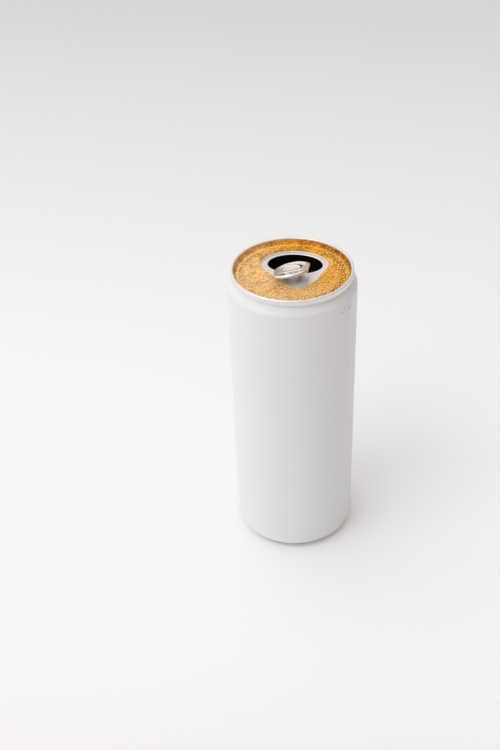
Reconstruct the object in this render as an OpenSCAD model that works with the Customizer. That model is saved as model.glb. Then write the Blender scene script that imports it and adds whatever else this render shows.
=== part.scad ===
// Opened sleek drinks can: drawn white can, seamed stay-on-tab end with its torn-in panel, riveted
// ring tab left half lifted, drink inside and a puddle of it on the end.
// +Z is up, the origin is at the middle of the base, and the mouth is towards +Y.

/* [Can body] */
// Height of the can over the seam
can_h = 145.6; // [120:0.1:180]
// Radius of the straight wall
body_r = 28.7; // [28.2:0.1:32]
// Thickness of the body's wall
wall = 0.35; // [0.2:0.05:0.6]
// Radius of the neck under the seam
neck_r = 26.3; // [26.2:0.1:26.5]
// Height of the neck, from the seam's lower edge down to the straight wall
neck_h = 5.6; // [4:0.1:9]
// Radius of the ring that the can stands on
stand_r = 23.6; // [21:0.1:24.5]
// Width of that ring's flat face
stand_w = 0.8; // [0.4:0.1:1.2]
// Height of the chime, from the table up to the straight wall
chime_h = 5.6; // [4:0.1:9]
// Height of the domed base at its middle
dome_h = 9.6; // [6:0.1:11]

/* [Can end] */
// Outer radius of the double seam
seam_r = 26.95; // [26.8:0.05:27.2]
// Height of the double seam
seam_h = 2.5; // [2.2:0.05:3]
// Thickness of the double seam
seam_t = 1.2; // [1:0.05:1.4]
// Thickness of the end's sheet
sheet = 0.3; // [0.2:0.05:0.5]
// Depth of the countersink below the seam's top
sink_d = 6.7; // [6:0.1:7.5]
// Depth of the centre panel below the seam's top
panel_d = 4.1; // [3.8:0.1:5]
// Radius of the centre panel
panel_r = 22.2; // [21.6:0.1:22.6]
// Depth of the pressed area round the mouth and the tab
deboss_d = 0.45; // [0.3:0.05:0.8]
// Distance from the rivet to the mouth's middle
mouth_y = 10.4; // [10:0.1:11]
// Half of the mouth's width
mouth_a = 12.3; // [11:0.1:12.8]
// Half of the mouth's depth
mouth_b = 7.9; // [7:0.1:8.2]
// Angle that the torn panel hangs down at
flap_angle = 82; // [70:1:88]

/* [Tab] */
// Length of the tab
tab_l = 25; // [23:0.1:26]
// Width of the tab at its nose
tab_w = 16; // [15:0.1:16.5]
// Width of the tab at its ring end
heel_w = 15.4; // [14:0.1:16]
// Distance from the rivet to the tab's nose
nose_y = 7.2; // [6.8:0.1:8]
// Height of the curled rail
rail_h = 1.5; // [1.2:0.05:1.8]
// Width of the curled rail
rail_w = 1.9; // [1.6:0.05:2.2]
// Angle that the tab is turned by about the rivet
tab_turn = 4; // [-6:1:6]
// Angle that the tab is lifted by
tab_lift = 20; // [14:1:60]
// Angle that the tab is twisted by about its own length
tab_twist = 12; // [0:1:14]
// Distance from the rivet to the web that bends
hinge_y = 3.5; // [3.2:0.1:4]
// Height of that web above the centre panel
hinge_up = 2.5; // [2:0.1:2.8]

/* [Drink] */
// Depth of the drink inside below the seam's top
drink_d = 22; // [20:1:60]
// Depth of the drink on the end below the seam's top
pool_d = 2.8; // [2.5:0.1:3.5]

/* [Hidden] */
$fn = 96;
eps = 0.01;
gap = 0.05;
panel_z = can_h - panel_d;
sink_z = can_h - sink_d;
hinge_z = panel_z + hinge_up;
pool_z = can_h - pool_d;
drink_z = can_h - drink_d;
chuck_r = seam_r - seam_t;
web_t = 0.35;
web_z = 0.55;

// The points of an arc from angle a0 to a1 about c
function arc(c, r, a0, a1, n = 10) =
    [for (i = [0:n]) let (a = a0 + (a1 - a0) * i / n) c + r * [cos(a), sin(a)]];
function unit(v) = v / norm(v);
// A path's own direction at each point, and the path moved to its left by d
function heading(p, i) = unit(p[min(i + 1, len(p) - 1)] - p[max(i - 1, 0)]);
function beside(p, d) = [for (i = [0:len(p) - 1]) p[i] + d * [-heading(p, i)[1], heading(p, i)[0]]];
function reversed(p) = [for (i = [len(p) - 1:-1:0]) p[i]];
function smooth(t) = let (u = max(0, min(1, t))) u * u * (3 - 2 * u);

// The can's outside, from the middle of the dome out round the stand ring and up to the seam
dome_r = (pow(stand_r - 2, 2) + pow(dome_h - 1.6, 2)) / (2 * (dome_h - 1.6));
dome_a = asin((stand_r - 2) / dome_r);
chime_a = 38;
neck_z = can_h - seam_h;
body_path = concat(
    arc([0, dome_h - dome_r], dome_r, 90, 90 - dome_a, 14),
    arc([stand_r - stand_w / 2, 1.3], 1.3, 205, 270, 6),
    arc([stand_r + stand_w / 2, 1.3], 1.3, 270, 290, 2),
    arc([body_r - 3.4, chime_h - 0.2], 3.4, -52, 0, 8),
    arc([body_r - 3.2, neck_z - neck_h], 3.2, 0, 48, 8),
    arc([neck_r + 1.6, neck_z - 0.5], 1.6, 222, 180, 6),
    [[neck_r, neck_z]]
);

// The end's upper surface, from the seam down the chuck wall, round the countersink to the panel
sink_r = 0.75;
sink_c = panel_r + sink_r + 0.15;
end_path = concat(
    [[chuck_r, can_h - 0.7], [chuck_r - 0.1, can_h - seam_h]],
    arc([sink_c, sink_z + sink_r], sink_r, 6, -180, 14),
    arc([panel_r - 0.75, panel_z - 0.7], 0.7, 0, 90, 6),
    [[0, panel_z]]
);

module revolve(points) {
    rotate_extrude() polygon(points);
}

// The mouth's outline, grown by d all round
module mouth_shape(d = 0) {
    polygon([for (a = [0:5:355])
        [(mouth_a + d) * cos(a), mouth_y + (mouth_b + d + (sin(a) > 0 ? 0.2 : -0.2)) * sin(a)]]);
}

// The pressed area: a finger well at the heel end, opening out round the mouth
well_r = 6.6;
well_y = -6;
wide_y = 9.6;
wide_r = 14.8;
far_y = 20.6;
function well_half(y) =
    y < well_y ? sqrt(max(0, pow(well_r, 2) - pow(y - well_y, 2))) :
    y < wide_y ? well_r + (wide_r - well_r) * smooth((y + 1) / (wide_y + 1)) :
    wide_r * sqrt(max(0, 1 - pow((y - wide_y) / (far_y - wide_y), 2)));
well_ys = concat(
    [for (a = [-90:10:0]) well_y + well_r * sin(a)],
    [for (i = [1:9]) well_y + (wide_y - well_y) * i / 10],
    [for (a = [0:7.5:90]) wide_y + (far_y - wide_y) * sin(a)]
);
well_edge = [for (y = well_ys) [well_half(y), y]];

// The pressed area's outline, grown by d all round
module deboss_shape(d = 0) {
    edge = beside(well_edge, -d);
    polygon(concat(edge, [for (p = reversed(edge)) [-p[0], p[1]]]));
}

// A closed smooth curve through a few points
function spline(p, n = 6) = [for (i = [0:len(p) - 1], k = [0:n - 1])
    let (m = len(p), a = p[(i + m - 1) % m], b = p[i], c = p[(i + 1) % m], d = p[(i + 2) % m], t = k / n)
        b + t * ((c - a) / 2 + t * (a - 2.5 * b + 2 * c - d / 2 + t * ((d - a) / 2 + 1.5 * (b - c))))];

// The dry patch that the puddle leaves open: the pressed area and a strip to its right
dry_edge = [[0, 20.6], [8.5, 18.6], [13.6, 14.4], [14.8, 9.5], [12.8, 2.2], [10.6, -4.2], [5.2, -11.2],
            [-0.5, -9.4], [-5.6, -4.7], [-11.6, 2], [-14.8, 7.6], [-13.8, 14], [-8.5, 18.8]];
module dry_shape() {
    polygon(spline(dry_edge));
}

module can_body() {
    color([0.93, 0.93, 0.92])
        revolve(concat(body_path, reversed(beside(body_path, wall))));
}

// The double seam's cross-section, with rounded edges
seam_path = concat(
    arc([seam_r - 0.5, can_h - 0.5], 0.5, 0, 90, 6),
    arc([chuck_r + 0.5, can_h - 0.5], 0.5, 90, 180, 6),
    [[chuck_r - 0.08, neck_z]],
    arc([seam_r - 0.3, neck_z + 0.3], 0.3, -90, 0, 4)
);

// The torn panel, still held at the mouth's near edge and bent down into the can
flap_y = mouth_y - mouth_b + 0.6;
flap_hold = 5.6;
bend_r = 0.4;
bend_lap = 2;
module flap() {
    under = panel_z - deboss_d - sheet;
    translate([-flap_hold / 2, flap_y - 1, under]) cube([flap_hold, 1 + eps, sheet]);
    translate([0, flap_y, under - bend_r]) {
        rotate([0, -90, 0]) rotate_extrude(angle = flap_angle + bend_lap)
            translate([bend_r, -flap_hold / 2]) square([sheet, flap_hold]);
        rotate([-flap_angle, 0, 0]) translate([0, -flap_y, bend_r]) linear_extrude(sheet)
            intersection() {
                mouth_shape(-0.3);
                translate([-mouth_a, flap_y - eps]) square([2 * mouth_a, 30]);
            }
    }
}

// The rivet, drawn up out of the panel's own sheet
rivet_r = 1.6;
rivet_head_r = 2.7;
boss_r = 3.5;
boss_top_r = 2.9;
module rivet() {
    floor_z = panel_z - deboss_d - eps;
    under_z = hinge_z - web_t / 2 - gap;
    translate([0, 0, floor_z]) cylinder(r1 = boss_r, r2 = boss_top_r, h = under_z - floor_z);
    translate([0, 0, floor_z]) cylinder(r = rivet_r, h = hinge_z + web_t - floor_z);
    translate([0, 0, hinge_z + web_t / 2 + gap])
        revolve(concat([[0, 0]], arc([rivet_head_r - 0.35, 0.35], 0.35, -90, 90, 6), [[0, 0.8]]));
}

module end_sheet() {
    difference() {
        union() {
            difference() {
                revolve(concat(end_path, [[0, panel_z - sheet]],
                               reversed(beside(end_path, sheet))));
                translate([0, 0, panel_z - 1]) linear_extrude(2) deboss_shape();
            }
            difference() {
                translate([0, 0, panel_z - deboss_d - sheet])
                    linear_extrude(deboss_d + sheet) deboss_shape(sheet);
                translate([0, 0, panel_z - deboss_d])
                    linear_extrude(2) deboss_shape();
            }
        }
        translate([0, 0, panel_z - 3]) linear_extrude(5) mouth_shape();
    }
}

module can_end() {
    color([0.83, 0.83, 0.84]) {
        end_sheet();
        revolve(seam_path);
        rivet();
        flap();
    }
}

// Each end of the tab is a flatter arc between two round corners: the centres, radii and angles
// of its three arcs, for an end at +y of width w
function end_arcs(w, corner, flat, y) =
    let (cx = w / 2 - corner, cy = y - flat + sqrt(pow(flat - corner, 2) - pow(cx, 2)),
         a = atan2(cy - y + flat, cx))
    [[[cx, cy], corner, 0, a], [[0, y - flat], flat, a, 180 - a], [[-cx, cy], corner, 180 - a, 180]];
nose_corner = 6.8;
nose_flat = 9.4;
heel_corner = 5.6;
heel_flat = 10;
heel_y = tab_l - nose_y;
nose_arcs = end_arcs(tab_w, nose_corner, nose_flat, nose_y);
heel_arcs = [for (a = end_arcs(heel_w, heel_corner, heel_flat, heel_y)) [-a[0], a[1], a[2] + 180, a[3] + 180]];
tab_arcs = concat(nose_arcs, heel_arcs);
module tab_shape(inset) {
    polygon([for (a = tab_arcs) each arc(a[0], a[1] - inset, a[2], a[3], 8)]);
}

// The curled rail's cross-section, [outwards, up] from the rail's middle line
rail_half = (rail_w - rail_h) / 2;
rail_section = concat(
    arc([rail_half, rail_h / 2], rail_h / 2, -90, 90, 5),
    arc([-rail_half, rail_h / 2], rail_h / 2, 90, 270, 5)
);

// The rail is one sweep round the outline: its stations are [centre, radius, angle]
rail_stations = [for (i = [0:5], k = [0:i % 3 == 2 ? 6 : 5])
    let (a = tab_arcs[i]) [a[0], a[1] - rail_w / 2, a[2] + (a[3] - a[2]) * k / 6]];
module rail() {
    m = len(rail_section);
    rings = len(rail_stations);
    points = [for (s = rail_stations, q = rail_section)
        let (p = s[0] + (s[1] + q[0]) * [cos(s[2]), sin(s[2])]) [p[0], p[1], q[1]]];
    faces = [for (i = [0:rings - 1], k = [0:m - 1])
        let (j = (i + 1) % rings, l = (k + 1) % m) [i * m + k, i * m + l, j * m + l, j * m + k]];
    polyhedron(points, faces);
}

// The finger hole: its heel end follows the tab's own outline, and its other end has round corners
hole_half = heel_w / 2 - rail_w - 0.25;
hole_top = -7.6;
hole_corner = 2;
module finger_hole() {
    intersection() {
        tab_shape(rail_w + 0.25);
        union() {
            translate([-hole_half, -tab_l]) square([2 * hole_half, tab_l + hole_top - hole_corner]);
            translate([hole_corner - hole_half, -tab_l])
                square([2 * (hole_half - hole_corner), tab_l + hole_top]);
            for (s = [-1, 1])
                translate([s * (hole_half - hole_corner), hole_top - hole_corner])
                    circle(r = hole_corner);
        }
    }
}

// The tab stands on its hinge line, twisted about its length, lifted, and turned on the rivet
module place_tab() {
    rotate([0, 0, tab_turn]) translate([0, hinge_y, hinge_z]) rotate([-tab_lift, 0, 0]) rotate([0, -tab_twist, 0])
        translate([0, -hinge_y, -web_z - web_t / 2])
            children();
}

slot_r = 4.7;
knuckle_r = 0.2;
module tab() {
    color([0.86, 0.86, 0.87]) place_tab() {
        rail();
        translate([0, 0, web_z]) linear_extrude(web_t) difference() {
            tab_shape(rail_w / 2);
            finger_hole();
            intersection() {
                circle(r = slot_r);
                translate([-10, -10]) square([20, 10 + hinge_y + knuckle_r + gap]);
            }
        }
    }
}

// The tongue under the rivet's head, which turns on the rivet and carries the web that bends
island_r = 4;
tongue_w = 5;
module tab_island() {
    color([0.84, 0.84, 0.85]) rotate([0, 0, tab_turn]) {
        difference() {
            translate([0, 0, hinge_z - web_t / 2]) linear_extrude(web_t) {
                intersection() {
                    circle(r = island_r);
                    translate([-10, -10]) square([20, 10 + hinge_y - knuckle_r]);
                }
                translate([-tongue_w / 2, 0]) square([tongue_w, hinge_y]);
            }
            translate([0, 0, hinge_z - 1]) cylinder(r = rivet_r + gap, h = 2);
        }
        translate([-tongue_w / 2, hinge_y, hinge_z]) rotate([0, 90, 0])
            cylinder(r = knuckle_r, h = tongue_w, $fn = 24);
    }
}

// The puddle, held between the chuck wall and the dry patch
sink_start = [sink_c + sink_r * cos(6), sink_z + sink_r + sink_r * sin(6)];
wall_top = [chuck_r - 0.1, neck_z];
pool_r = wall_top[0] + (pool_z - wall_top[1]) * (wall_top[0] - sink_start[0])
         / (wall_top[1] - sink_start[1]);
module lid_drink() {
    color([0.88, 0.62, 0.25]) difference() {
        revolve(concat([[pool_r, pool_z]], [for (i = [2:len(end_path) - 1]) end_path[i]],
                       [[0, pool_z]]));
        translate([0, 0, panel_z - 1]) linear_extrude(10) dry_shape();
    }
}

// The drink inside, up to its level
inner_path = beside(body_path, wall);
module drink() {
    color([0.75, 0.45, 0.15])
        revolve(concat([for (p = inner_path) if (p[1] < drink_z) p],
                       [[body_r - wall, drink_z], [0, drink_z]]));
}

can_body();
can_end();
tab_island();
tab();
lid_drink();
drink();
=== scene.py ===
# %% [markdown]
# # An opened drinks can
#
# A slim drinks can stands open on a pale table. Its body is one drawn cup of thin aluminium with a
# white coating, its end is a pressed disc seamed onto it, and a ring tab is held on the end by a
# rivet. Drink fills the can and has spilled over the end, where it lies full of small bubbles.
#
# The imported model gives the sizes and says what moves. It is loaded first, and every piece made
# here takes its place from it. Nothing is selected after that, because an operator acts on all
# that is selected.

# %% Load the frame
import math
import random

import bpy
from mathutils import Matrix, Vector


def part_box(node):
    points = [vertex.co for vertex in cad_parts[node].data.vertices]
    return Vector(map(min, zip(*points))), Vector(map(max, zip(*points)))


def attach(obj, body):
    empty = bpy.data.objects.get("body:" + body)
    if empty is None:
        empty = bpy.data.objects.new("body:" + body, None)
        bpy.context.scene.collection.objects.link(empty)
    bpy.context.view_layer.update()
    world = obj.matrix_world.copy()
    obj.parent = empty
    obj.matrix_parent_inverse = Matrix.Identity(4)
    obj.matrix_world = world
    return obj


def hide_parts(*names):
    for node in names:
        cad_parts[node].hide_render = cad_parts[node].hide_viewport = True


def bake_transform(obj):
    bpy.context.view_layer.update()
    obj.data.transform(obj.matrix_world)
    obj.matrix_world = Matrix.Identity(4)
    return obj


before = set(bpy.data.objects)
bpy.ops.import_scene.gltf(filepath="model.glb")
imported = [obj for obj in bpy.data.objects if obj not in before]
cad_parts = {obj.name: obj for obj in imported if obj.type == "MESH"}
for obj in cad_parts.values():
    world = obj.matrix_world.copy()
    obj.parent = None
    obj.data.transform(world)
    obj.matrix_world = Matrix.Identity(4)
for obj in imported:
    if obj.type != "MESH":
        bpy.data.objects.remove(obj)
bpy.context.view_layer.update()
bpy.ops.object.select_all(action="DESELECT")

# %% [markdown]
# ## Camera
#
# The camera stands over the can and looks down on it at 37 degrees, with a 50 mm lens. The mouth
# of the can points away from it and a little to the right, so the camera is turned a few degrees
# from the mouth's own line. It is also rolled by a little over two degrees.

# %% Place the camera
CAMERA_TURN = math.radians(10.5)
CAMERA_PLACE = (-0.02024, -0.38882, 0.38278)
CAMERA_PITCH = math.radians(37.172)
CAMERA_ROLL = math.radians(-2.3705)


def place_camera():
    bpy.ops.object.camera_add()
    camera = bpy.context.object
    camera.name = "camera"
    camera.data.lens = 50
    camera.data.sensor_width = 36
    camera.data.clip_start = 0.01
    aim = Matrix.Rotation(math.pi / 2 - CAMERA_PITCH, 4, "X") @ Matrix.Rotation(CAMERA_ROLL, 4, "Z")
    turn = Matrix.Rotation(CAMERA_TURN, 4, "Z")
    camera.matrix_world = turn @ Matrix.Translation(CAMERA_PLACE) @ aim
    bpy.context.scene.camera = camera
    return camera


camera = place_camera()
print("camera at", [round(c, 3) for c in camera.matrix_world.translation])

# %% [markdown]
# ## Sizes
#
# Lengths are in millimetres up to the point where a helper makes geometry. The height, the radii
# and the levels of the drink are read from the frame. The rest are the usual sizes of such a can
# and its end, named once so that the pieces meet.

# %% Name the sizes
MM = 0.001
BODY_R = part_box("can_body")[1].x / MM
CAN_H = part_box("can_end")[1].z / MM
SEAM_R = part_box("can_end")[1].x / MM
POOL_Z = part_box("lid_drink")[1].z / MM

WALL = 0.35
SHEET = 0.28
NECK_R = 26.3
NECK_H = 5.6
STAND_R = 23.6
STAND_W = 0.8
CHIME_H = 5.6
DOME_H = 9.6
SEAM_H = 2.5
SEAM_T = 1.2
PANEL_R = 22.2
PRESS_D = 0.45
MOUTH_Y = 10.4
MOUTH_A = 12.3
MOUTH_B = 7.9

NECK_Z = CAN_H - SEAM_H
CHUCK_R = SEAM_R - SEAM_T
PANEL_Z = CAN_H - 4.1
SINK_Z = CAN_H - 6.7
FLOOR_Z = PANEL_Z - PRESS_D
print(f"can {2 * BODY_R:.1f} x {CAN_H:.1f} mm, end {2 * SEAM_R:.1f} mm, puddle up to {POOL_Z:.1f} mm")

# %% [markdown]
# ## Outlines
#
# Almost every edge on a can is made of arcs, because the tools that draw, neck and curl it are
# turned on a lathe. So one function gives the points of an arc, and most outlines are lists of
# arcs. The others give a soft step from 0 to 1, move an outline sideways, which rounds a pressed
# edge, and run a smooth curve through a few points.

# %% Arcs and offsets
def arc(centre, radius, start, end, steps=10):
    angles = [math.radians(start + (end - start) * i / steps) for i in range(steps + 1)]
    return [(centre[0] + radius * math.cos(a), centre[1] + radius * math.sin(a)) for a in angles]


def smooth(t):
    t = max(0.0, min(1.0, t))
    return t * t * (3 - 2 * t)


def grow(loop, distance):
    """A closed outline moved outwards by distance all round."""
    count = len(loop)
    area = sum(loop[i - 1][0] * loop[i][1] - loop[i][0] * loop[i - 1][1] for i in range(count))
    side = math.copysign(distance, area)
    grown = []
    for i in range(count):
        along = Vector(loop[(i + 1) % count]) - Vector(loop[i - 1])
        along.normalize()
        grown.append((loop[i][0] + side * along.y, loop[i][1] - side * along.x))
    return grown


def spline(knots, steps=10):
    """A closed smooth curve through a few points."""
    curve = []
    for i in range(len(knots)):
        a, b, c, d = (Vector(knots[(i + k) % len(knots)]) for k in (-1, 0, 1, 2))
        for k in range(steps):
            t = k / steps
            bend = a - 2.5 * b + 2 * c - d / 2 + t * ((d - a) / 2 + 1.5 * (b - c))
            curve.append(tuple(b + t * ((c - a) / 2 + t * bend)))
    return curve


print("a quarter turn in four steps:", len(arc((0, 0), 1, 0, 90, 4)), "points")

# %% [markdown]
# ## Edit mode helpers
#
# By hand, an outline is drawn by merging a plane to one vertex and extruding that vertex from
# point to point. A round piece is then spun from its outline, and a pressed one is bridged from
# one closed outline to the next. These helpers do that with the same operators. Spin can leave a
# shape inside out, so normals are recalculated once its doubles are merged.

# %% Draw, spin, bridge and fill
def take(*pieces):
    """Selects these pieces only, the first one active."""
    bpy.ops.object.select_all(action="DESELECT")
    for piece in pieces:
        piece.select_set(True)
    bpy.context.view_layer.objects.active = pieces[0]


def edit(piece, test=None, kind="VERT"):
    """Opens a piece in edit mode with all of it selected, or only the vertices that pass the test."""
    take(piece)
    bpy.ops.object.mode_set(mode="EDIT")
    bpy.ops.mesh.select_mode(type="VERT")
    bpy.ops.mesh.select_all(action="SELECT" if test is None else "DESELECT")
    if test is not None:
        bpy.ops.object.mode_set(mode="OBJECT")
        for vertex in piece.data.vertices:
            vertex.select = bool(test(vertex.co / MM))
        bpy.ops.object.mode_set(mode="EDIT")
    bpy.ops.mesh.select_mode(type=kind)


def done():
    bpy.ops.object.mode_set(mode="OBJECT")
    return bpy.context.object


def draw(name, points, closed=True):
    """Draws an outline through points, in millimetres, as a chain of extruded vertices."""
    places = [Vector(point) * MM for point in points]
    bpy.ops.mesh.primitive_plane_add(size=MM)
    piece = bpy.context.object
    piece.name = name
    edit(piece)
    bpy.ops.mesh.merge(type="CENTER")
    bpy.ops.transform.translate(value=places[0])
    for here, there in zip(places, places[1:]):
        bpy.ops.mesh.extrude_region_move(TRANSFORM_OT_translate={"value": there - here})
    if closed:
        last = len(places) - 1
        done()
        piece.data.vertices[0].select = True
        piece.data.vertices[last].select = True
        bpy.ops.object.mode_set(mode="EDIT")
        bpy.ops.mesh.edge_face_add()
    return done()


def level(outline, z):
    return [(x, y, z) for x, y in outline]


def join(name, *pieces):
    take(*pieces)
    bpy.ops.object.join()
    pieces[0].name = name
    return pieces[0]


def heal(piece):
    """Merges doubles and points every face outwards."""
    edit(piece)
    bpy.ops.mesh.remove_doubles(threshold=0.00001)
    bpy.ops.mesh.normals_make_consistent(inside=False)
    return done()


def revolve(name, profile, steps=192, closed=False):
    """Spins a profile of (radius, height) points round the can's axis."""
    piece = draw(name, [(r, 0, z) for r, z in profile], closed)
    edit(piece)
    bpy.ops.mesh.spin(steps=steps, angle=math.tau, center=(0, 0, 0), axis=(0, 0, 1),
                      use_auto_merge=True)
    return heal(done())


def bridge(name, loops):
    """Joins closed outlines of equal length, each higher or lower than the last, into one wall."""
    piece = join(name, *[draw("loop", loop) for loop in loops])
    edit(piece)
    bpy.ops.mesh.bridge_edge_loops(type="SINGLE")
    return done()


def fill(name, *loops):
    """Fills the flat field between an outline and the outlines of its holes."""
    piece = join(name, *[draw("loop", loop) for loop in loops])
    edit(piece)
    bpy.ops.mesh.fill(use_beauty=True)
    return done()


def modify(piece, kind, **settings):
    take(piece)
    modifier = piece.modifiers.new(kind.title(), kind)
    for name, value in settings.items():
        setattr(modifier, name, value)
    bpy.ops.object.modifier_apply(modifier=modifier.name)
    return piece


def shade(piece, angle=35):
    take(piece)
    bpy.ops.object.shade_smooth_by_angle(angle=math.radians(angle))
    print(f"{piece.name}: {len(piece.data.polygons)} faces")
    return piece


# %% [markdown]
# ## Shader helpers
#
# A finish is built on the Principled shader. A small class wraps a socket so that sums on values
# read as sums, and each operator adds one Math node. Every other node comes from one method,
# which takes the node's type, its settings and its inputs.

# %% Values and finishes
class Value:
    """A socket of a graph. Python's operators on it add Math nodes."""

    def __init__(self, graph, socket):
        self.graph = graph
        self.socket = socket

    def math(self, operation, first, second=0.0):
        inputs = {0: first, 1: second}
        return self.graph.node("ShaderNodeMath", {"operation": operation}, inputs)

    def __add__(self, other):
        return self.math("ADD", self, other)

    def __sub__(self, other):
        return self.math("SUBTRACT", self, other)

    def __mul__(self, other):
        return self.math("MULTIPLY", self, other)

    def __rsub__(self, other):
        return self.math("SUBTRACT", other, self)

    __radd__ = __add__

    def ramp(self, low, high):
        """0 below low and 1 above high, with a smooth step between."""
        settings = {"interpolation_type": "SMOOTHSTEP"}
        return self.graph.node("ShaderNodeMapRange", settings, {0: self, 1: low, 2: high})

    def colours(self, *stops):
        return self.graph.node("ShaderNodeValToRGB", {"stops": stops}, {0: self})


class Graph:
    """The nodes of a material or of the world, and short ways to add to them."""

    def __init__(self, owner, shader, place):
        owner.use_nodes = True
        self.tree = owner.node_tree
        self.shader = self.tree.nodes[shader]
        self.place = self.node("ShaderNodeTexCoord", output=place)

    def put(self, socket, value):
        if isinstance(value, Value):
            self.tree.links.new(value.socket, socket)
        else:
            socket.default_value = value

    def set(self, socket, value):
        self.put(self.shader.inputs[socket], value)

    def node(self, kind, settings=None, inputs=None, output=0):
        made = self.tree.nodes.new(kind)
        for name, value in (settings or {}).items():
            if name == "stops":
                for _ in value[2:]:
                    made.color_ramp.elements.new(1.0)
                for element, (place, colour) in zip(made.color_ramp.elements, value):
                    element.position = place
                    element.color = (*colour, 1.0)
            else:
                setattr(made, name, value)
        for name, value in (inputs or {}).items():
            self.put(made.inputs[name], value)
        return Value(self, made.outputs[output])

    def axis(self, name):
        return self.node("ShaderNodeSeparateXYZ", inputs={0: self.place}, output=name)


class Finish(Graph):
    """A material with a Principled shader."""

    def __init__(self, name, **sockets):
        self.material = bpy.data.materials.new(name)
        super().__init__(self.material, "Principled BSDF", "Object")
        for socket, value in sockets.items():
            self.set(socket.replace("_", " ").title().replace("Ior", "IOR"), value)

    def stretched(self, x, y, z):
        return self.node("ShaderNodeMapping", inputs={"Vector": self.place, "Scale": (x, y, z)})

    def noise(self, size, detail=2.0, place=None):
        """Noise with features of about this size, in millimetres."""
        inputs = {"Vector": place or self.place, "Scale": 1 / (size * MM), "Detail": detail}
        return self.node("ShaderNodeTexNoise", inputs=inputs)

    def radius(self):
        """Distance from the can's axis, in millimetres."""
        flat = self.node("ShaderNodeVectorMath", {"operation": "MULTIPLY"},
                         {0: self.place, 1: (1 / MM, 1 / MM, 0)})
        return self.node("ShaderNodeVectorMath", {"operation": "LENGTH"}, {0: flat}, "Value")

    def painted_light_across(self, first, second):
        """Painted light: a paler colour at the lamp-lit near left, passing into a richer one at the
        far right.
        """
        share = (self.axis("X") * 0.8 + self.axis("Y") * 0.6).ramp(-0.014, 0.016)
        settings = {"data_type": "RGBA"}
        return self.node("ShaderNodeMix", settings, {0: share, 6: first, 7: second}, 2)

    def bump(self, height, depth):
        """Relief of this depth in millimetres."""
        inputs = {"Height": height, "Distance": depth * MM}
        self.set("Normal", self.node("ShaderNodeBump", inputs=inputs))


def paint(piece, *finishes):
    piece.data.materials.clear()
    for finish in finishes:
        piece.data.materials.append(finish.material)


print("shader helpers ready")

# %% [markdown]
# ## Finishes
#
# The body carries a satin white coating, sprayed and baked, so it has a very fine orange peel and
# the faint upright lines of the drawn wall under it. The end and the tab are bare rolled sheet:
# bright, with a grain that runs one way and gives soft streaks in the highlights.

# %% White coating and rolled metal
def white_coating():
    finish = Finish("white_coating", coat_weight=0.25, coat_roughness=0.12)
    peel = finish.noise(1.4, 3)
    lines = finish.noise(1.2, 2, finish.stretched(1, 1, 0.012))
    clouds = finish.noise(38, 2)
    tone = clouds * 0.8 + lines * 0.2
    finish.set("Base Color", tone.colours(
        (0.3, (0.765, 0.765, 0.765)),
        (0.7, (0.785, 0.785, 0.785)),
    ))
    finish.set("Roughness", 0.32 + clouds * 0.08 + peel * 0.04)
    finish.bump(peel * 0.8 + lines * 0.2, 0.006)
    return finish


def rolled_metal(name, tone, roughness, grain_depth, metallic):
    finish = Finish(name, metallic=metallic)
    grain = finish.noise(0.5, 3, finish.stretched(1, 0.04, 1))
    smudges = finish.noise(6, 3)
    bright = tuple(min(1.0, c * 1.05) for c in tone)
    finish.set("Base Color", (grain * 0.5 + smudges * 0.5).colours((0.3, tone), (0.7, bright)))
    finish.set("Roughness", roughness + grain * 0.04 + smudges * 0.12)
    finish.bump(grain, grain_depth)
    return finish


WHITE = white_coating()
END_METAL = rolled_metal("rolled_end_metal", (0.81, 0.79, 0.77), 0.32, 0.008, 0.75)
TAB_METAL = rolled_metal("bright_tab_metal", (0.78, 0.75, 0.725), 0.16, 0.0015, 1.0)
print("finishes", WHITE.material.name, END_METAL.material.name, TAB_METAL.material.name)

# %% [markdown]
# The inside of a can is lacquered, and it lies in heavy shade, so through the mouth it looks nearly
# black. That shade is painted: the lining is coloured nearly black. The drink is amber, golden and
# grainy with fine bubbles. Painted light makes it paler at the near left, on the lamp's side, and
# richer at the far right. It is darker in the groove, partly because the drink stands thicker there
# and partly as painted shade, most of all on the right. A painted highlight makes it lighter in a
# thin ring along the wall, and painted highlights with dark borders mark its small cells. These
# changes are worked out from the place on the end, the distance to the can's axis and cell noise.

# %% Lining and drink
def lining():
    # painted shade: the lining is coloured nearly black, standing in for the shade inside the can
    finish = Finish("lining_painted_shade", specular_ior_level=0.1)
    cloud = finish.noise(9, 2)
    finish.set("Base Color", cloud.colours(
        (0.3, (0.010, 0.010, 0.009)),
        (0.7, (0.022, 0.019, 0.015)),
    ))
    finish.set("Roughness", 0.5 + cloud * 0.2)
    return finish


def deep_drink():
    finish = Finish("deep_drink", specular_ior_level=0.15, ior=1.34)
    cloud = finish.noise(7, 2)
    finish.set("Base Color", cloud.colours(
        (0.3, (0.020, 0.008, 0.002)),
        (0.7, (0.040, 0.015, 0.003)),
    ))
    finish.set("Roughness", 0.06 + cloud * 0.05)
    finish.bump(cloud, 0.1)
    return finish


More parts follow.
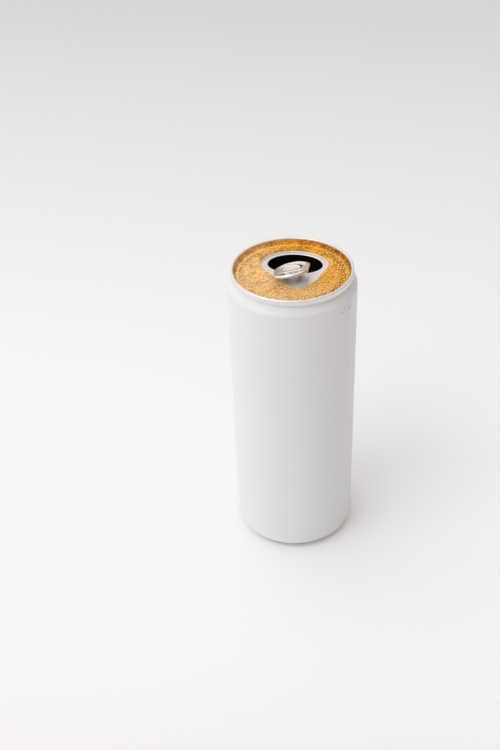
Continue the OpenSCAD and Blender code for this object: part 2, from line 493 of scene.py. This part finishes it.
def puddle_drink():
    finish = Finish("puddle_drink", specular_ior_level=0.3, ior=1.34)
    inputs = {"Vector": finish.place, "Scale": 1 / (1.25 * MM)}
    cells = finish.node("ShaderNodeTexVoronoi", inputs=inputs)
    cloud = finish.noise(5.5, 3)
    fine = finish.noise(0.7, 2)
    out = finish.radius()
    # painted highlight: a lighter ring along the wall, where the drink climbs it and catches the
    # light
    shore = out.ramp(23.3, 24.1) - out.ramp(24.3, 24.9)
    # the cells paint a bright centre and a dark border on each small bubble: painted highlights on
    # the foam's grain
    froth_and_painted_light = (1 - cells.ramp(0.08, 0.62)) * 0.40 + cloud * 0.65 + fine * 0.16
    # darker in the groove: partly the drink standing thicker there, partly painted shade, most of all
    # on the right, away from the lamp
    depth_and_shade = 0.10 + finish.axis("X").ramp(0.002, 0.018) * 0.20
    froth_and_painted_light = froth_and_painted_light + shore * 0.34 - out.ramp(20.0, 22.6) * depth_and_shade
    pale = froth_and_painted_light.colours(
        (0.15, (0.42, 0.165, 0.028)),
        (0.42, (0.80, 0.430, 0.140)),
        (0.66, (0.92, 0.600, 0.250)),
        (0.90, (1.00, 0.780, 0.430)),
    )
    rich = froth_and_painted_light.colours(
        (0.15, (0.30, 0.105, 0.006)),
        (0.42, (0.78, 0.310, 0.014)),
        (0.66, (0.92, 0.450, 0.035)),
        (0.90, (1.00, 0.660, 0.160)),
    )
    finish.set("Base Color", finish.painted_light_across(pale, rich))
    finish.set("Roughness", 0.06 + fine * 0.10)
    finish.bump(froth_and_painted_light, 0.14)
    return finish


def bubble_skin():
    finish = Finish("bubble_skin", specular_ior_level=0.4, ior=1.34)
    normal = finish.node("ShaderNodeTexCoord", output="Normal")
    up = finish.node("ShaderNodeSeparateXYZ", inputs={0: normal}, output="Z")
    cloud = finish.noise(3, 2)
    # painted highlight: each dome is paler where it faces up and darker orange round its sides
    painted_top_light = up.ramp(0.30, 0.95) * 0.75 + cloud * 0.35
    pale = painted_top_light.colours(
        (0.15, (0.55, 0.250, 0.060)),
        (0.55, (0.95, 0.620, 0.250)),
        (0.90, (1.00, 0.860, 0.550)),
    )
    rich = painted_top_light.colours(
        (0.15, (0.44, 0.165, 0.012)),
        (0.55, (0.90, 0.450, 0.050)),
        (0.90, (1.00, 0.740, 0.260)),
    )
    finish.set("Base Color", finish.painted_light_across(pale, rich))
    finish.set("Roughness", 0.05 + cloud * 0.05)
    return finish


PAINTED_SHADE_LINING = lining()
DEEP = deep_drink()
PUDDLE = puddle_drink()
BUBBLE = bubble_skin()
print("finishes", PAINTED_SHADE_LINING.material.name, DEEP.material.name, PUDDLE.material.name)

# %% [markdown]
# ## Can body
#
# The real body is drawn from one disc, ironed thin, domed underneath and necked in at the top. A
# lathe shape like this is spun from half of its profile. The profile runs from the middle of the
# dome out round the stand ring and up to the seam, with extra points near the shoulder, because a
# dent goes there. Solidify then gives the wall its thickness, and the inner side takes the lining.

# %% Spin the body
def body_profile():
    dome_r = ((STAND_R - 2) ** 2 + (DOME_H - 1.6) ** 2) / (2 * (DOME_H - 1.6))
    dome_a = math.degrees(math.asin((STAND_R - 2) / dome_r))
    shoulder_z = NECK_Z - NECK_H
    wall_z = [40, 75, 105, shoulder_z - 10] + [shoulder_z - 8 + 0.5 * i for i in range(16)]
    return (
        arc((0, DOME_H - dome_r), dome_r, 90, 90 - dome_a, 14)
        + arc((STAND_R - STAND_W / 2, 1.3), 1.3, 205, 270, 6)
        + arc((STAND_R + STAND_W / 2, 1.3), 1.3, 270, 290, 2)
        + arc((BODY_R - 3.4, CHIME_H - 0.2), 3.4, -52, 0, 10)
        + [(BODY_R, z) for z in wall_z]
        + arc((BODY_R - 3.2, shoulder_z), 3.2, 0, 48, 10)
        + arc((NECK_R + 1.6, NECK_Z - 0.5), 1.6, 222, 180, 8)
        + [(NECK_R, NECK_Z + 0.3)]
    )


can_shell = revolve("can_shell", body_profile(), 320)

# %% [markdown]
# The shoulder has one small dent on its right side, a knock that left an arch-shaped crease.
# By hand a dent is a grab with proportional editing: a few vertices are pushed in and their
# neighbours follow. A chain of small pushes along the arch leaves the crease, and one wide push
# under it leaves the hollow.

# %% Knock the dent in
ARCH = [(-35, 134.4), (-33.5, 135.2), (-31.5, 136.0), (-29, 136.6), (-26.5, 137.0), (-24, 137.0),
        (-22, 136.4), (-22, 135.5), (-23, 134.6), (-25, 133.8), (-27, 133.0)]
DENT_PUSHES = [(-28, 134.8, -0.45, 4.0)] + [(turn, z, -0.55, 1.2) for turn, z in ARCH]


def push(piece, turn, z, depth, reach):
    """Moves the wall at this turn and height out by depth, and what lies within reach along."""
    away = Vector((math.cos(math.radians(turn)), math.sin(math.radians(turn)), 0))
    spot = away * (BODY_R - 0.4) + Vector((0, 0, z))
    nearest = min((vertex.co / MM - spot).length for vertex in piece.data.vertices)
    edit(piece, lambda p: (p - spot).length < nearest + 0.05)
    bpy.ops.transform.translate(value=away * depth * MM, use_proportional_edit=True,
                                proportional_edit_falloff="SMOOTH", proportional_size=reach * MM)
    return done()


for dent in DENT_PUSHES:
    push(can_shell, *dent)
paint(can_shell, WHITE, PAINTED_SHADE_LINING)
modify(can_shell, "SOLIDIFY", thickness=WALL * MM, offset=-1, material_offset=1)
shade(can_shell, 40)
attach(can_shell, "can")
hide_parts("can_body")

# %% [markdown]
# ## Can end
#
# The end is one pressed disc. Its rim is folded over the body's edge into the double seam, and
# inside that the chuck wall drops to a groove and comes up again to the flat centre panel. All
# of that is round, so it is spun. The middle isn't round: there a keyhole-shaped area is pressed
# down, wide round the mouth and narrow at the finger well, and the mouth is cut in it. These
# parts are bridged and filled between flat outlines, and their edges meet the spun rim's.

# %% Seam, chuck wall and groove
RIM_STEPS = 192
FIELD_R = PANEL_R - 0.75
SINK_R = 0.75
SINK_C = PANEL_R + SINK_R + 0.15


def rim_profile():
    return (
        [(NECK_R + 0.05, NECK_Z - 0.02)]
        + arc((SEAM_R - 0.35, NECK_Z + 0.35), 0.35, -90, 0, 6)
        + [(SEAM_R - 0.06, NECK_Z + 1.1)]
        + arc((SEAM_R - 0.5, CAN_H - 0.5), 0.5, 0, 90, 8)
        + arc((CHUCK_R + 0.5, CAN_H - 0.5), 0.5, 90, 176, 8)
        + [(CHUCK_R - 0.1, CAN_H - SEAM_H)]
        + arc((SINK_C, SINK_Z + SINK_R), SINK_R, 6, -180, 16)
        + arc((FIELD_R, PANEL_Z - 0.7), 0.7, 0, 90, 8)
    )


end_rim = revolve("end_rim", rim_profile(), RIM_STEPS)
print("rim from", round(SEAM_R, 2), "to", round(FIELD_R, 2), "mm")

# %% [markdown]
# The pressed area's outline is a half circle for the finger well, an S-curve that opens out, and
# half an ellipse beyond the mouth. Its edge has a soft roll at the top and at the bottom, so the
# outline is drawn seven times, each a little wider and higher, and bridged. The mouth's edge is
# the torn score line. It turns down slightly before the thin raw edge, and the mouth bulges a
# little more on its far side than on its near side.

# %% Pressed area and mouth
WELL_R = 6.6
WELL_Y = -6.0
WIDE_R = 14.8
WIDE_Y = 9.6
FAR_Y = 20.7
MOUTH_FAR = 0.9
MOUTH_NEAR = -0.2


def well_half(y):
    if y < WELL_Y:
        return math.sqrt(max(0.0, WELL_R**2 - (y - WELL_Y) ** 2))
    if y < WIDE_Y:
        return WELL_R + (WIDE_R - WELL_R) * smooth((y + 1) / (WIDE_Y + 1))
    return WIDE_R * math.sqrt(max(0.0, 1 - ((y - WIDE_Y) / (FAR_Y - WIDE_Y)) ** 2))


def pressed_outline():
    heights = [WELL_Y + WELL_R * math.sin(math.radians(a)) for a in range(-90, 1, 6)]
    heights += [WELL_Y + (WIDE_Y - WELL_Y) * i / 24 for i in range(1, 24)]
    heights += [WIDE_Y + (FAR_Y - WIDE_Y) * math.sin(math.radians(a)) for a in range(0, 91, 4)]
    right = [(well_half(y), y) for y in heights]
    left = [(-x, y) for x, y in reversed(right[1:-1])]
    return right + left


def mouth_outline(d=0.0, steps=96):
    outline = []
    for i in range(steps):
        a = math.tau * i / steps
        bulge = MOUTH_FAR if math.sin(a) > 0 else MOUTH_NEAR
        outline.append(((MOUTH_A + d) * math.cos(a), MOUTH_Y + (MOUTH_B + d + bulge) * math.sin(a)))
    return outline


def circle(radius, steps, centre=(0, 0)):
    return arc(centre, radius, 0, 360 * (steps - 1) / steps, steps - 1)


PRESSED = pressed_outline()
EDGE_STEPS = [(-0.50, FLOOR_Z), (-0.40, FLOOR_Z + 0.005), (-0.2, FLOOR_Z + 0.04),
              (0.05, FLOOR_Z + 0.22), (0.28, PANEL_Z - 0.05), (0.50, PANEL_Z - 0.005),
              (0.68, PANEL_Z)]
LIP_STEPS = [(0.70, FLOOR_Z), (0.55, FLOOR_Z - 0.005), (0.40, FLOOR_Z - 0.01),
             (0.20, FLOOR_Z - 0.04), (0.05, FLOOR_Z - 0.14), (0.0, FLOOR_Z - 0.30)]
pressed_edge = bridge("pressed_edge", [level(grow(PRESSED, d), z) for d, z in EDGE_STEPS])
mouth_lip = bridge("mouth_lip", [level(mouth_outline(d), z) for d, z in LIP_STEPS])
rim_circle = level(circle(FIELD_R, RIM_STEPS), PANEL_Z)
field = fill("field", rim_circle, level(grow(PRESSED, EDGE_STEPS[-1][0]), PANEL_Z))
well_floor = fill("well_floor", level(grow(PRESSED, EDGE_STEPS[0][0]), FLOOR_Z),
                  level(mouth_outline(LIP_STEPS[0][0]), FLOOR_Z))
end = heal(join("can_lid", end_rim, pressed_edge, mouth_lip, field, well_floor))
print("end joined,", len(end.data.vertices), "vertices")

# %% [markdown]
# After it is torn, the panel hangs down into the can from a short strip at the mouth's near edge.
# It is filled from the mouth's own outline, a little smaller, and cut by bisect across its root.
# Each cut line is then a fold, and all beyond it turns by the same small angle, far line first.
# The rivet is spun: a low boss drawn up out of the panel, a stem and the flattened head.

# %% Torn panel and rivet
FLAP_Y = MOUTH_Y - MOUTH_B + 0.6
FLAP_ANGLE = 82
FOLDS = 4
HINGE_Z = PANEL_Z + 2.5
WEB_T = 0.35


def torn_panel():
    piece = fill("torn_panel", level(mouth_outline(-0.3), FLOOR_Z - SHEET / 2))
    lines = [FLAP_Y + 0.22 * i for i in range(FOLDS)]
    for y in lines:
        edit(piece)
        bpy.ops.mesh.bisect(plane_co=(0, y * MM, 0), plane_no=(0, 1, 0))
        done()
    for y in reversed(lines):
        pivot = Vector((0, y, FLOOR_Z - SHEET / 2)) * MM
        edit(piece, lambda p: p.y > y + 0.01 or p.z < FLOOR_Z - SHEET)
        bpy.ops.transform.rotate(value=math.radians(FLAP_ANGLE / FOLDS), orient_axis="X",
                                 center_override=pivot)
        done()
    paint(piece, END_METAL, PAINTED_SHADE_LINING)
    return modify(heal(piece), "SOLIDIFY", thickness=SHEET * MM, offset=0, material_offset=1)


def rivet():
    under = HINGE_Z - WEB_T / 2 - 0.05
    over = HINGE_Z + WEB_T / 2 + 0.05
    profile = (
        [(0, FLOOR_Z - 0.1), (3.3, FLOOR_Z - 0.1), (2.9, FLOOR_Z + 0.1), (2.4, FLOOR_Z + 0.5)]
        + arc((1.8, under - 0.3), 0.3, 0, 90, 5)
        + [(1.6, under), (1.6, over)]
        + arc((2.3, over + 0.16), 0.16, -90, 90, 8)
        + [(1.5, over + 0.36), (0.9, over + 0.30), (0, over + 0.27)]
    )
    return revolve("rivet", profile, 48)


paint(end, END_METAL, PAINTED_SHADE_LINING)
modify(end, "SOLIDIFY", thickness=SHEET * MM, offset=-1, material_offset=1)
flap = torn_panel()
print("torn panel hangs to", round(min(v.co.z for v in flap.data.vertices) / MM, 1), "mm")
button = rivet()
paint(button, END_METAL)
end = join("can_lid", end, flap, button)
shade(end, 40)
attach(end, "can")
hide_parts("can_end")

# %% [markdown]
# ## Ring tab
#
# The tab is stamped from thin strip. Its edge is curled under all round into a hollow rail, which
# makes it stiff, and the web inside carries the finger hole and the C-shaped slot round the rivet.
# The rail follows six arcs, three at the nose and three at the heel, so it is made by spinning
# one cross-section from arc to arc. The curl is open underneath, as on the real one.

# %% Roll the rail
TAB_L = 25.0
TAB_W = 16.0
HEEL_W = 15.4
NOSE_Y = 7.2
RAIL_H = 1.5
RAIL_W = 1.9
TAB_SHEET = 0.24
WEB_Z = 0.55 + WEB_T / 2


def end_arcs(width, corner, flat, y):
    """Centre, radius and angles of the three arcs of a tab's end that points to +y."""
    x = width / 2 - corner
    centre_y = y - flat + math.sqrt((flat - corner) ** 2 - x**2)
    meet = math.degrees(math.atan2(centre_y - y + flat, x))
    return [((x, centre_y), corner, 0, meet), ((0, y - flat), flat, meet, 180 - meet),
            ((-x, centre_y), corner, 180 - meet, 180)]


NOSE = end_arcs(TAB_W, 7.2, 8.6, NOSE_Y)
HEEL = [((-x, -y), r, a + 180, b + 180)
        for (x, y), r, a, b in end_arcs(HEEL_W, 5.6, 10, TAB_L - NOSE_Y)]


def tab_outline(inset, arcs=tuple(NOSE + HEEL)):
    outline = []
    for centre, r, a, b in arcs:
        outline += arc(centre, r - inset, a, b, 12)[:-1]
    centre, r, _, b = arcs[-1]
    return outline + arc(centre, r - inset, b, b, 1)[:1]


def curl_section():
    """The sheet's middle line from the web out over the top and back under, then its thickness."""
    line = (
        [(-1.18, WEB_Z), (-0.98, WEB_Z + 0.03)]
        + arc((-0.15, RAIL_H - 0.60), 0.50, 150, 95, 4)
        + arc((0.25, RAIL_H - 0.67), 0.56, 88, 0, 6)
        + arc((0.25, 0.70), 0.56, -5, -90, 6)
        + arc((-0.05, 0.62), 0.48, -95, -170, 5)
    )
    sides = []
    for side in (TAB_SHEET / 2, -TAB_SHEET / 2):
        points = []
        for i, point in enumerate(line):
            along = Vector(line[min(i + 1, len(line) - 1)]) - Vector(line[max(i - 1, 0)])
            along.normalize()
            points.append((point[0] - side * along.y, point[1] + side * along.x))
        sides.append(points)
    return sides[0] + sides[1][::-1]


def rail():
    (cx, cy), radius = NOSE[0][0], NOSE[0][1]
    start = cx + radius - RAIL_W / 2
    piece = draw("tab_rail", [(start + u, cy, v) for u, v in curl_section()])
    edit(piece)
    arcs = NOSE + HEEL
    for i, (centre, radius, first, last) in enumerate(arcs):
        middle = (centre[0] * MM, centre[1] * MM, 0)
        bpy.ops.mesh.spin(steps=14, angle=-math.radians(last - first), center=middle,
                          axis=(0, 0, 1))
        if i in (2, 5):
            following = arcs[(i + 1) % 6]
            here = arc(centre, radius, last, last, 1)[0]
            there = arc(following[0], following[1], following[2], following[2], 1)[0]
            shift = Vector((there[0] - here[0], there[1] - here[1], 0)) * MM
            bpy.ops.mesh.extrude_region_move(TRANSFORM_OT_translate={"value": shift})
    return heal(done())


tab_rail = rail()
print("rail spans", [round(side / MM, 1) for side in tab_rail.dimensions], "mm")

# %% [markdown]
# The web is flat sheet. It is filled between the rail's inner edge, the finger hole and the slot,
# and given its thickness and a slightly broken edge. The finger hole has a rolled hem, so that
# it doesn't cut. The hem is its outline turned into a curve with a round bevel and back to mesh.

# %% Web and hem
HOLE_INSET = RAIL_W + 0.25
HOLE_TOP = -7.6
HOLE_CORNER = 2.0
SLOT_R = 4.7
SLOT_Y = 3.75
TAB_WEB_T = 0.30
HEM_INSET = HOLE_INSET + 0.12
HEM_T = 0.62


def finger_hole(inset=HOLE_INSET):
    half = HEEL_W / 2 - inset
    shift = inset - HOLE_INSET
    left = arc((HOLE_CORNER + shift - half, HOLE_TOP - shift - HOLE_CORNER), HOLE_CORNER, 90, 180, 8)
    right = arc((half - HOLE_CORNER - shift, HOLE_TOP - shift - HOLE_CORNER), HOLE_CORNER, 0, 90, 8)
    return left + tab_outline(inset, tuple(HEEL)) + right


def rivet_slot():
    meet = math.degrees(math.asin(SLOT_Y / SLOT_R))
    return arc((0, 0), SLOT_R, 180 - meet, 360 + meet, 40)


def web():
    outlines = (tab_outline(RAIL_W + 0.05), finger_hole(), rivet_slot())
    piece = heal(fill("tab_web", *[level(outline, WEB_Z) for outline in outlines]))
    modify(piece, "SOLIDIFY", thickness=TAB_WEB_T * MM, offset=0)
    return modify(piece, "BEVEL", width=0.07 * MM, segments=2, limit_method="ANGLE")


def hem(outline, thickness, z):
    piece = draw("hem", level(outline, z))
    take(piece)
    bpy.ops.object.convert(target="CURVE")
    piece.data.bevel_depth = thickness / 2 * MM
    piece.data.bevel_resolution = 3
    bpy.ops.object.convert(target="MESH")
    return heal(bpy.context.object)


ring_tab = join("ring_tab", tab_rail, web(), hem(finger_hole(HEM_INSET), HEM_T, WEB_Z - 0.02))

# %% [markdown]
# Pulling the tab has bent it: its nose is arched up in the middle. That is one grab with
# proportional editing again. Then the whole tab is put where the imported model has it: twisted
# about its length, lifted at the heel, and turned on the rivet.

# %% Bend and place the tab
TAB_TURN = 4
TAB_LIFT = 20
TAB_TWIST = 12
HINGE_Y = 3.5
ARCH_H = 0.6

edit(ring_tab, lambda p: abs(p.x) < 2.2 and p.y > 4.2)
bpy.ops.transform.translate(value=(0, 0, ARCH_H * MM), use_proportional_edit=True,
                            proportional_edit_falloff="SMOOTH", proportional_size=5.6 * MM)
done()


def turn(degrees, axis):
    return Matrix.Rotation(math.radians(degrees), 4, axis)


def shift(x, y, z):
    return Matrix.Translation(Vector((x, y, z)) * MM)


ring_tab.matrix_world = (turn(TAB_TURN, "Z") @ shift(0, HINGE_Y, HINGE_Z) @ turn(-TAB_LIFT, "X")
                         @ turn(-TAB_TWIST, "Y") @ shift(0, -HINGE_Y, -WEB_Z))
take(ring_tab)
bpy.ops.object.transform_apply(location=True, rotation=True, scale=True)
paint(ring_tab, TAB_METAL)
shade(ring_tab, 50)
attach(ring_tab, "tab")
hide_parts("tab")
print("tab's top is at", round(max(v.co.z for v in ring_tab.data.vertices) / MM, 1), "mm")

# %% [markdown]
# A small tongue under the rivet's head holds the tab, and the web bends where the tongue runs
# into it. That strip is the tab's hinge. It is cut from flat outlines, scored across by bisect so
# that it has lines to bend at, and its far end is lifted by proportional editing until it meets
# the arched web.

# %% Cut and bend the tongue
TONGUE_R = 4.35
TONGUE_W = 7.0
TONGUE_END = 4.5
TONGUE_RISE = 0.45


def tongue():
    half = TONGUE_W / 2
    meet = math.degrees(math.acos(half / TONGUE_R))
    outline = arc((0, 0), TONGUE_R, 180 - meet, 360 + meet, 40)
    outline += [(half, TONGUE_END), (-half, TONGUE_END)]
    piece = heal(fill("tab_tongue", level(outline, HINGE_Z), level(circle(1.7, 32), HINGE_Z)))
    for i in range(9):
        edit(piece)
        bpy.ops.mesh.bisect(plane_co=(0, (1.7 + 0.3 * i) * MM, 0), plane_no=(0, 1, 0))
        done()
    edit(piece, lambda p: p.y > 3.9)
    bpy.ops.transform.translate(value=(0, 0, TONGUE_RISE * MM), use_proportional_edit=True,
                                proportional_edit_falloff="SMOOTH", proportional_size=2.2 * MM)
    done()
    modify(piece, "SOLIDIFY", thickness=WEB_T * MM, offset=0)
    modify(piece, "BEVEL", width=0.06 * MM, segments=2, limit_method="ANGLE")
    piece.matrix_world = turn(TAB_TURN, "Z")
    take(piece)
    bpy.ops.object.transform_apply(location=True, rotation=True, scale=True)
    return piece


tab_tongue = tongue()
paint(tab_tongue, TAB_METAL)
shade(tab_tongue, 40)
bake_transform(tab_tongue)
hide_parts("tab_island")

# %% [markdown]
# ## Puddle on the end
#
# Spilled drink stands in the groove and over the panel, and leaves the pressed area dry. Where it
# meets the chuck wall it climbs a little, and at its dry edge it ends in a rounded bank, as any
# liquid does. So the outer part is spun with that small rise, and the bank is bridged along the
# dry patch's own outline. Flat fills close the top and the bottom.

# %% Pour the puddle
DRY_EDGE = [(0, 21.2), (8.5, 19.1), (13.6, 14.8), (14.9, 9.6), (12.8, 2.2), (10.4, -4.2),
            (5.2, -11.2), (-0.5, -9.4), (-5.6, -4.7), (-11.8, 2), (-15.2, 7.8), (-14.1, 14.2),
            (-8.5, 19.2)]
POOL_DEPTH = POOL_Z - PANEL_Z
BANK_W = 1.3
TOP_R = 22.9
SHORE_R = 23.2
MENISCUS_H = 1.9
BANK_STEPS = 8


def chuck_r(z):
    """The chuck wall's radius at a height."""
    low = (SINK_C + SINK_R, SINK_Z + SINK_R)
    share = (z - low[1]) / (NECK_Z - low[1])
    return min(CHUCK_R - 0.06, low[0] + share * (CHUCK_R - 0.1 - low[0]))


def pool_profile():
    wet_r = chuck_r(POOL_Z + MENISCUS_H)
    rise = [math.sin(math.pi / 2 * i / 14) for i in range(15)]
    shore = [(SHORE_R + (wet_r - SHORE_R) * t, POOL_Z + MENISCUS_H * t**9) for t in rise]
    return (
        [(TOP_R, POOL_Z)]
        + shore
        + [(wet_r, POOL_Z + MENISCUS_H - 0.05), (chuck_r(POOL_Z) + 0.03, POOL_Z)]
        + arc((SINK_C, SINK_Z + SINK_R), SINK_R, 0, -180, 10)
        + arc((FIELD_R, PANEL_Z - 0.7), 0.7, 0, 90, 6)
        + [(FIELD_R - 0.2, PANEL_Z)]
    )


def bank_loops(dry):
    """The dry edge's outline at rising heights, as a quarter ellipse."""
    loops = []
    for i in range(BANK_STEPS + 1):
        a = math.pi / 2 * i / BANK_STEPS
        z = PANEL_Z - 0.02 + (POOL_DEPTH + 0.01) * math.sin(a)
        loops.append(level(grow(dry, BANK_W * (1 - math.cos(a))), z))
    return loops + [level(grow(dry, BANK_W + 0.1), POOL_Z - 0.005),
                    level(grow(dry, BANK_W + 0.2), POOL_Z)]


def puddle():
    dry = spline(DRY_EDGE)
    loops = bank_loops(dry)
    outer = revolve("pool_ring", pool_profile(), RIM_STEPS)
    bank = bridge("bank", loops)
    top = fill("pool_top", level(circle(TOP_R, RIM_STEPS), POOL_Z), loops[-1])
    bottom = fill("pool_bottom", level(circle(FIELD_R - 0.2, RIM_STEPS), PANEL_Z), loops[0])
    return heal(join("lid_puddle", outer, bank, top, bottom))


lid_puddle = puddle()
paint(lid_puddle, PUDDLE)
shade(lid_puddle, 60)
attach(lid_puddle, "can")
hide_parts("lid_drink")

# %% [markdown]
# ## Bubbles
#
# Fizz keeps hundreds of small bubbles at the surface. Each is a low dome. One dome is modelled
# from a sphere: the half below the surface is cut off, and it keeps only a few dozen faces. The
# places are drawn at random from a fixed seed, no two too close, denser in some patches than in
# others, and all copies of the dome are joined in one mesh.

# %% Scatter the bubbles
BUBBLES = 950
BUBBLE_R = (0.24, 0.64)
TRIES = 60000
CELL = 1.2


def dome():
    bpy.ops.mesh.primitive_uv_sphere_add(segments=10, ring_count=8, radius=1)
    piece = bpy.context.object
    edit(piece)
    bpy.ops.mesh.bisect(plane_co=(0, 0, 0), plane_no=(0, 0, 1), clear_inner=True)
    bpy.ops.transform.resize(value=(1, 1, 0.75))
    return done()


def inside(point, loop):
    odd = False
    for a, b in zip(loop, loop[1:] + loop[:1]):
        if (a[1] > point[1]) != (b[1] > point[1]):
            if point[0] < a[0] + (point[1] - a[1]) * (b[0] - a[0]) / (b[1] - a[1]):
                odd = not odd
    return odd


def patches(x, y):
    """Above 0 where bubbles crowd and below 0 where they are few."""
    waves = math.sin(0.55 * x + 1.3) + math.sin(0.47 * y - 0.8) + math.sin(0.4 * (x + y))
    return waves + 0.09 * x - 0.05 * y


def bubble_places():
    random.seed(7)
    shore = grow(spline(DRY_EDGE, 4), BANK_W * 0.75)
    places = []
    cells = {}
    tries = 0
    while len(places) < BUBBLES and tries < TRIES:
        tries += 1
        r = (chuck_r(POOL_Z) - 0.5) * math.sqrt(random.random())
        a = math.tau * random.random()
        x, y = r * math.cos(a), r * math.sin(a)
        size = BUBBLE_R[0] + (BUBBLE_R[1] - BUBBLE_R[0]) * random.random() ** 2.2
        if inside((x, y), shore) or random.random() > 0.55 + 0.3 * patches(x, y):
            continue
        cell = (int(x // CELL), int(y // CELL))
        beside = [(cell[0] + i, cell[1] + j) for i in (-1, 0, 1) for j in (-1, 0, 1)]
        near = [b for key in beside for b in cells.get(key, [])]
        if any(math.hypot(x - b[0], y - b[1]) < 0.92 * (size + b[2]) for b in near):
            continue
        cells.setdefault(cell, []).append((x, y, size))
        places.append((x, y, size))
    return places


def scatter(name, template, places):
    """Joins one copy of the template for each place into one mesh."""
    corners = [vertex.co.copy() for vertex in template.data.vertices]
    sides = [tuple(face.vertices) for face in template.data.polygons]
    points = []
    faces = []
    for x, y, size in places:
        first = len(points)
        centre = Vector((x, y, POOL_Z - 0.12 * size))
        points += [(corner * size + centre) * MM for corner in corners]
        faces += [tuple(first + i for i in side) for side in sides]
    mesh = bpy.data.meshes.new(name)
    mesh.from_pydata(points, [], faces)
    piece = bpy.data.objects.new(name, mesh)
    bpy.context.scene.collection.objects.link(piece)
    bpy.data.objects.remove(template)
    return piece


places = bubble_places()
bubbles = scatter("bubbles", dome(), places)
paint(bubbles, BUBBLE)
shade(bubbles, 80)
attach(bubbles, "can")
print(len(places), "bubbles")

# %% [markdown]
# ## Drink inside
#
# The drink inside already has its true shape, so it stays as packed and only gets its finish.

# %% Finish the kept piece
paint(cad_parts["drink"], DEEP)
print("kept", [n for n in sorted(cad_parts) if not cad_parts[n].hide_render])

# %% [markdown]
# ## Table, light and world
#
# The table is a plain pale sheet with painted light falloff: a little darker at the front edge and
# darker still into the distance. The light is a large soft lamp from the upper left, over a pale
# world that is bright above and on the left, and dim and a little warmer on the right. Colours are
# shown as they are, with the Standard view.

# %% Set the stage
def table_top():
    bpy.ops.mesh.primitive_grid_add(x_subdivisions=8, y_subdivisions=8, size=6)
    table = bpy.context.object
    table.name = "table"
    finish = Finish("pale_table")
    along = finish.axis("Y") * 0.667 + 0.4
    # painted light falloff: a little darker at the front edge, darker still into the distance
    painted_falloff_tones = along.colours((0.26, (0.83, 0.815, 0.82)), (0.34, (0.90, 0.90, 0.905)),
                          (0.45, (0.90, 0.90, 0.905)), (0.9, (0.715, 0.71, 0.735)))
    finish.set("Base Color", painted_falloff_tones)
    finish.set("Roughness", 0.8 + finish.noise(20, 2) * 0.1)
    paint(table, finish)


def soft_lamp(place, aim, size, power):
    bpy.ops.object.light_add(type="AREA")
    lamp = bpy.context.object
    lamp.data.shape = "RECTANGLE"
    lamp.data.size, lamp.data.size_y = size
    lamp.data.energy = power
    lamp.location = place
    lamp.rotation_euler = (Vector(aim) - Vector(place)).to_track_quat("-Z", "Y").to_euler()
    return lamp


def pale_world():
    world = bpy.data.worlds.new("studio")
    bpy.context.scene.world = world
    sky = Graph(world, "Background", "Generated")
    right = sky.axis("X").ramp(-1, 1)
    top = sky.axis("Z").ramp(0.25, 1)
    side = 1.08 - right * 0.98
    sky.set("Color", right.colours((0.3, (1, 1, 1)), (1.0, (1, 0.94, 0.89))))
    sky.set("Strength", side + (1.10 - side) * top)


table_top()
lamp = soft_lamp((-0.7, -0.7, 1.5), (0, 0, 0.1), (1.0, 0.8), 6.0)
pale_world()
bpy.context.scene.view_settings.view_transform = "Standard"
print("lamp at", [round(c, 2) for c in lamp.location])
